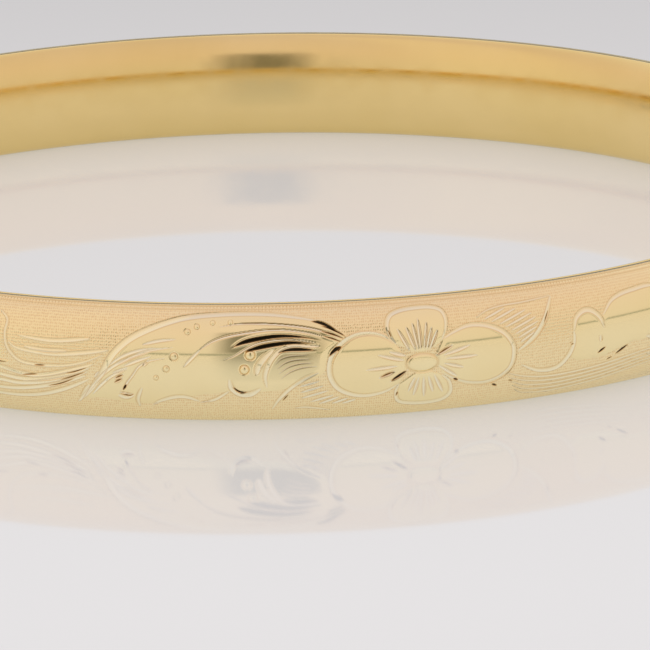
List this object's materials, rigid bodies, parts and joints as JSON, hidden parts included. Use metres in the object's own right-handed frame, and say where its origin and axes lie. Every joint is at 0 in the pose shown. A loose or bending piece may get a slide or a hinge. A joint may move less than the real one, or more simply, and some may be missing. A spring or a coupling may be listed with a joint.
{
  "type": "hinged bangle bracelet",
  "caption": "Narrow round bangle of hollow oval tube, with an engraved foliate front half, a plain back half, a pin hinge and a tongue clasp.",
  "frame": {"origin": "centre of the wrist opening, half way up the band", "axes": "+Z along the wrist axis, -Y towards the middle of the engraved half, +X towards the hinge, -X towards the clasp"},
  "size_m": [0.0653, 0.0644, 0.006],
  "materials": {
    "engraved_gold": "polished, hand engraved, with a fine stippled ground",
    "polished_gold": "mirror polish with faint wear lines",
    "hinge_gold": "polished with turning marks",
    "inner_gold": "satin, as filed and pickled",
    "spring_gold": "satin, hard rolled sheet"
  },
  "bodies": {
    "front_half": {"front_outer_shell": "engraved_gold", "front_inner_liner": "polished_gold", "front_hinge_block": "inner_gold", "front_hinge_knuckle_1": "hinge_gold", "front_hinge_knuckle_3": "hinge_gold", "front_hinge_knuckle_5": "hinge_gold", "hinge_pin": "hinge_gold", "front_clasp_plug": "inner_gold", "tongue_base_leaf": "inner_gold"},
    "back_half": {"back_outer_shell": "polished_gold", "back_inner_liner": "polished_gold", "back_hinge_block": "inner_gold", "back_hinge_knuckle_2": "hinge_gold", "back_hinge_knuckle_4": "hinge_gold", "clasp_mouth_plate": "inner_gold", "clasp_guide_box": "inner_gold"},
    "release_leaf": {"tongue_spring_leaf": "spring_gold", "thumb_piece": "polished_gold"}
  },
  "joints": [
    {"name": "bangle_hinge", "type": "hinge", "parent": "front_half", "child": "back_half", "pos_m": [0.03145, 0, 0], "axis": [0, 0, -1], "range_deg": [0, 55]},
    {"name": "clasp_release", "type": "hinge", "parent": "front_half", "child": "release_leaf", "pos_m": [-0.03051, 0.00545, 0], "axis": [0, 0, 1], "range_deg": [0, 4.5], "stiffness_Nm_per_rad": 0.12}
  ]
}
